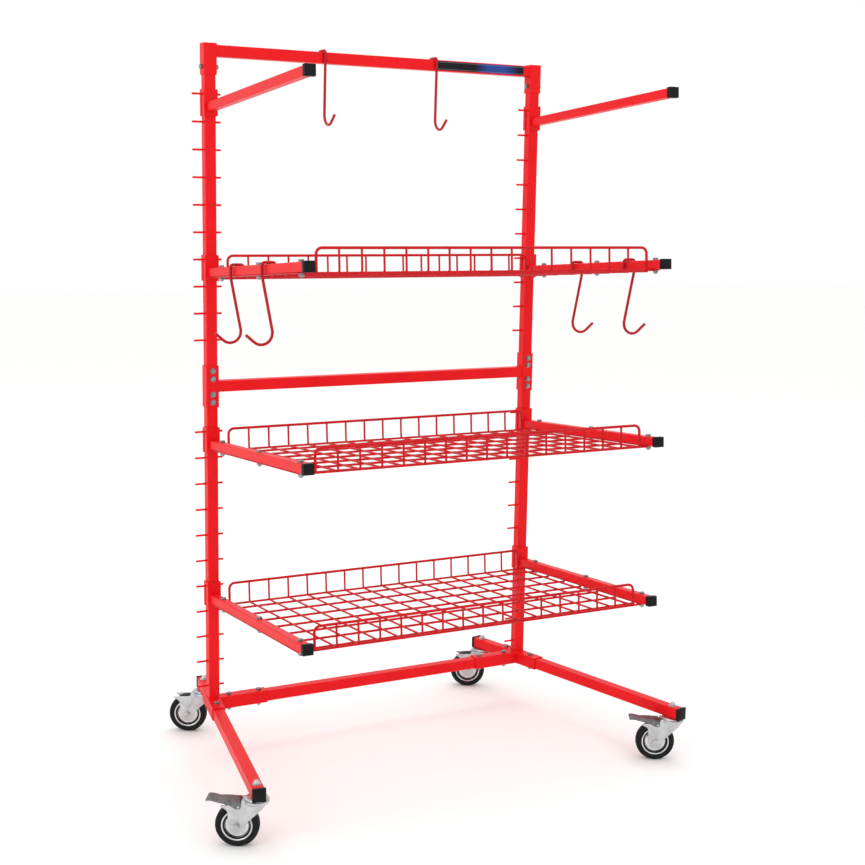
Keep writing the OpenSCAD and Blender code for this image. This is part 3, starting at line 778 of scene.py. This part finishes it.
def makePedal():  # pressed plate over the wheel, with ears outside the cheeks and a curved tip
    p = pedalSize
    pieces = []
    for low in (p["half"] - p["earThick"], -p["half"]):
        ear = cutPlate("ear", p["ear"], p["earThick"], p["edge"])
        ear.data.transform(Matrix.Translation((0, low, 0)))
        pieces.append(ear)
    plate = cutPlate("plate", p["plate"], 2 * p["half"], p["edge"])
    plate.data.transform(Matrix.Translation((0, -p["half"], 0)))
    pieces.append(plate)
    halfRidge = p["ridgeReach"] * p["half"]
    for x, z in p["ridges"]:
        ridge = cutPlate("ridge", p["ridge"], 2 * halfRidge, p["ridgeEdge"])
        ridge.data.transform(Matrix.Translation((x, -halfRidge, z)))
        pieces.append(ridge)
    return joined("pedal", pieces)


tyre, rim, axle, pedal = makeTyre(), makeRim(), makeAxle(), makePedal()
forks = {"front": makeFork(True), "rear": makeFork(False)}
axleSpot = Matrix.Translation((casterSize["trail"], 0, -casterSize["axleDrop"]))
wheelTurn = axleSpot @ Matrix.Rotation(math.radians(90), 4, "X")
for end, along in casterSize["stems"].items():
    for word, side in sides.items():
        caster = "caster_" + end + "_" + word
        wheel = "wheel_" + end + "_" + word
        place = casterFrame(side, along)
        for part, source, turn, finish, body, slot in (
                ("fork", forks[end], Matrix.Identity(4), "zincPlate", caster, "zinc_plate"),
                ("axle", axle, axleSpot, "zincPlate", caster, "zinc_plate"),
                ("tyre", tyre, wheelTurn, "tyreRubber", wheel, "rubber_tyre"),
                ("rim", rim, wheelTurn, "brightRim", wheel, "bright_rim")):
            piece = placed(source, place @ turn)
            piece.name = caster + "_" + part + "_made"
            coat(piece, finish, body, [caster + "_" + part])
        if end == "front":
            piece = placed(pedal, place)
            piece.name = "brake_pedal_" + word
            coat(piece, "pedalSteel", "brake_" + word, ["brake_lever_" + word])
discard(tyre, rim, axle, pedal, *forks.values())

# king bolts with domed nuts, and the plates that bear on the swivels, as (radius, height) from the rail
kingSize = {
    "dome": [(0.0004, 0.0195), (0.0004, 0.0290), (0.0030, 0.0286), (0.0060, 0.0268), (0.0078, 0.0240),
             (0.0084, 0.0205), (0.0084, 0.0195)],
    "nut": (0.0095, 0.0180, 0.0230),
    "washer": [(0.0060, 0.0160), (0.0120, 0.0160), (0.0120, 0.0180), (0.0060, 0.0184)],
    "shank": [(0.0005, 0.0195), (0.0060, 0.0195), (0.0060, -0.0316), (0.0110, -0.0316), (0.0110, -0.0366),
              (0.0005, -0.0366)],
    "bearing": [(0.0062, -0.0160), (0.0250, -0.0160), (0.0285, -0.0166), (0.0315, -0.0185),
                (0.0320, -0.0202), (0.0316, -0.0210), (0.0062, -0.0210)],
}
kingParts = [turned("dome", kingSize["dome"], 32), hexBlock(*kingSize["nut"]),
             turned("kingWasher", kingSize["washer"], 40), turned("kingShank", kingSize["shank"], 32)]
king = joined("king", kingParts)
bearing = turned("bearing", kingSize["bearing"], 72)
stems = [railFrame(side) @ Matrix.Translation((0, along, 0))
         for side in (-1, 1) for along in casterSize["stems"].values()]
kings = joined("king_bolts", [placed(king, stem) for stem in stems])
coat(kings, "zincPlate", "frame", ["caster_king_bolts"])
bearings = joined("bearing_plates", [placed(bearing, stem) for stem in stems])
coat(bearings, "zincPlate", "frame", ["caster_bearing_plates"])
discard(king, bearing)
print("casters made")


# weld beads where the bars and uprights meet their sleeves

beadSize = {"radius": 0.0018, "offset": 0.0004, "corner": 0.003, "gap": 0.0002}


def beadRing(width, place):  # fillet bead round a square tube, in its local XY plane
    half = width / 2 + beadSize["offset"]
    loop = [(-half, 0, 0), (-half, half, 0), (half, half, 0), (half, -half, 0), (-half, -half, 0),
            (-half, beadSize["gap"], 0)]
    ring = bentWires("bead", beadSize["radius"], [(loop, (beadSize["corner"],) * 4)], 1)
    ring.data.transform(place)
    return ring


beads = []
across = Matrix.Rotation(math.radians(90), 4, "Y")
for height in (cart["middleHeight"], cart["topHeight"]):
    for side in (-1, 1):
        x = cart["uprightX"][side] - side * cart["sleeve"] / 2
        beads.append(beadRing(cart["tube"], Matrix.Translation((x, cart["uprightY"], height)) @ across))
for side in (-1, 1):
    height = cart["baseHeight"] + cart["sleeve"] / 2
    foot = Matrix.Translation((cart["uprightX"][side], cart["uprightY"], height))
    beads.append(beadRing(cart["tube"], foot))
welds = joined("weld_beads", beads)
welds.data.materials.clear()
welds.data.materials.append(finishes["powderCoat"])
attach(welds, "frame")
print("weld beads made")

# the frame's own nodes keep their shapes and take the powder coat
for name, node in nodes.items():
    for slot in node.material_slots:
        slot.material = finishes["powderCoat"]


# studio: camera, soft lamps, white surround and floor

camera = {"place": (-1.8320, -3.62906, 1.6386), "yaw": -27.9, "pitch": 9.0, "roll": 1.0, "lens": 59.24,
          "sensor": 36, "shiftX": -0.0012, "shiftY": -0.0094, "clip": 60}
startClean()
bpy.ops.object.camera_add(location=camera["place"])
eye = bpy.context.object
eye.rotation_euler = (Matrix.Rotation(math.radians(camera["yaw"]), 4, "Z")
                      @ Matrix.Rotation(math.radians(90 - camera["pitch"]), 4, "X")
                      @ Matrix.Rotation(math.radians(camera["roll"]), 4, "Z")).to_euler()
eye.data.sensor_width = camera["sensor"]
eye.data.lens = camera["lens"]
eye.data.shift_x = camera["shiftX"]
eye.data.shift_y = camera["shiftY"]
eye.data.clip_end = camera["clip"]
bpy.context.scene.camera = eye

lamps = {
    "leftPanel": {"place": (-4.5, -1.5, 2.6), "aim": (0, 0, 1.0), "size": 3.0, "power": 34},
    "frontPanel": {"place": (0.8, -5.0, 3.6), "aim": (0, 0, 0.9), "size": 3.5, "power": 16},
    "overhead": {"place": (0.4, 0.8, 4.8), "aim": (0, 0, 0.6), "size": 3.5, "power": 40},
}
for name, lamp in lamps.items():
    startClean()
    bpy.ops.object.light_add(type="AREA", location=lamp["place"])
    light = bpy.context.object
    light.name = name
    light.data.size = lamp["size"]
    light.data.energy = lamp["power"]
    light.rotation_euler = (Vector(lamp["aim"]) - Vector(lamp["place"])).to_track_quat("-Z", "Y").to_euler()

surround = {"strength": 1.0, "floor": "fefefd", "floorRough": 0.8, "floorWidth": 40}
world = bpy.data.worlds.new("studioWhite")
world.use_nodes = True
world.node_tree.nodes["Background"].inputs["Color"].default_value = (1, 1, 1, 1)
world.node_tree.nodes["Background"].inputs["Strength"].default_value = surround["strength"]
bpy.context.scene.world = world
bpy.context.scene.view_settings.view_transform = "Standard"

startClean()
bpy.ops.mesh.primitive_plane_add(size=surround["floorWidth"], location=(0, 0, 0))
floor = bpy.context.object
floor.name = "floor"
paint = bpy.data.materials.new("paleFloorPaint")
paint.use_nodes = True
paintShader = paint.node_tree.nodes["Principled BSDF"]
paintShader.inputs["Base Color"].default_value = linear(surround["floor"])
paintShader.inputs["Roughness"].default_value = surround["floorRough"]
floor.data.materials.append(paint)
print("studio made")
